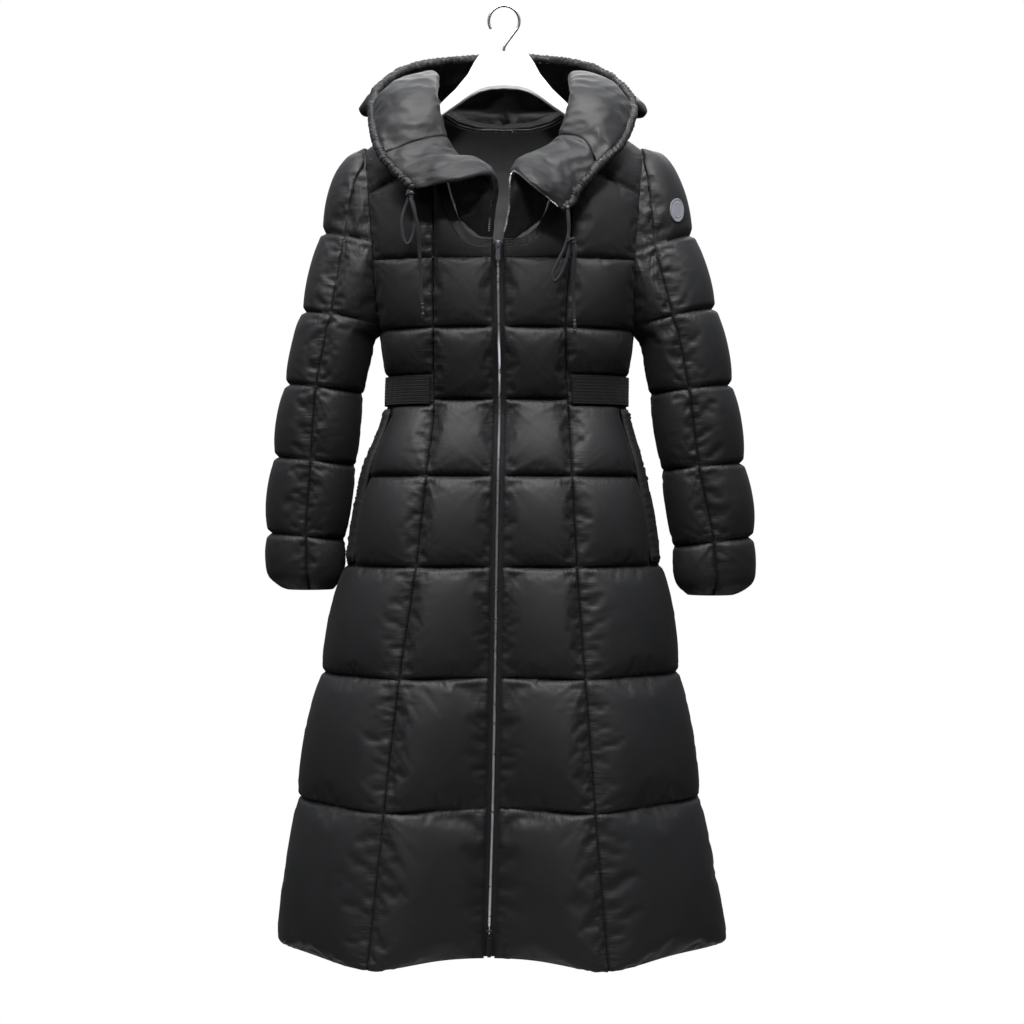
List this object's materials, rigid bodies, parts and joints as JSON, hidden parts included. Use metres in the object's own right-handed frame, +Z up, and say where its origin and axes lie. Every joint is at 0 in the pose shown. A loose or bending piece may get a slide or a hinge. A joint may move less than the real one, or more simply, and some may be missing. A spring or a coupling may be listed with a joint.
{
  "type": "long hooded puffer coat on a hanger",
  "caption": "Long black quilted puffer coat with a hood, a full-length zip and an elastic waist band, hanging on a white hanger.",
  "frame": {"origin": "top inside of the hanger's hook, where a rail carries it, on the coat's middle plane", "axes": "+Z up, the coat's front faces -Y, +X towards the wearer's left sleeve"},
  "size_m": [0.7017, 0.3914, 1.3507],
  "materials": {
    "shell_nylon": "satin, quilted",
    "trim_woven": "matte, woven",
    "zip_metal": "polished",
    "slider_metal": "dark, satin",
    "cord_metal": "polished",
    "patch_felt": "matte",
    "hanger_plastic": "glossy",
    "hook_metal": "polished"
  },
  "bodies": {
    "coat": {"front_centre_r": "shell_nylon", "front_centre_l": "shell_nylon", "front_side_r": "shell_nylon", "front_side_l": "shell_nylon", "back_centre": "shell_nylon", "back_side_r": "shell_nylon", "back_side_l": "shell_nylon", "sleeve_front_r": "shell_nylon", "sleeve_front_l": "shell_nylon", "sleeve_outer_r": "shell_nylon", "sleeve_outer_l": "shell_nylon", "collar_r": "shell_nylon", "collar_l": "shell_nylon", "hood_r": "shell_nylon", "hood_l": "shell_nylon", "hood_rim_r": "shell_nylon", "hood_rim_l": "shell_nylon", "zip_tape_r": "trim_woven", "zip_tape_l": "trim_woven", "zip_chain": "zip_metal", "collar_tape_r": "trim_woven", "collar_tape_l": "trim_woven", "zip_teeth_r": "zip_metal", "zip_teeth_l": "zip_metal", "top_slider": "slider_metal", "bottom_slider": "slider_metal", "waist_elastic": "trim_woven", "pocket_welt_r": "shell_nylon", "pocket_welt_l": "shell_nylon", "drawcord_r": "trim_woven", "drawcord_l": "trim_woven", "cord_eyelet_r": "cord_metal", "cord_eyelet_l": "cord_metal", "cord_tip_r": "cord_metal", "cord_tip_l": "cord_metal", "sleeve_patch": "patch_felt", "hanger_body": "hanger_plastic", "hanger_hook": "hook_metal"},
    "top_pull": {"top_pull": "slider_metal"},
    "bottom_pull": {"bottom_pull": "slider_metal"}
  },
  "joints": [
    {"name": "top_pull_swing", "type": "hinge", "parent": "coat", "child": "top_pull", "pos_m": [-0.008, -0.10319, -0.355], "axis": [-1, 0, 0], "range_deg": [0, 100]},
    {"name": "bottom_pull_swing", "type": "hinge", "parent": "coat", "child": "bottom_pull", "pos_m": [-0.01976, -0.15194, -1.306], "axis": [-1, 0, 0], "range_deg": [0, 100]}
  ]
}
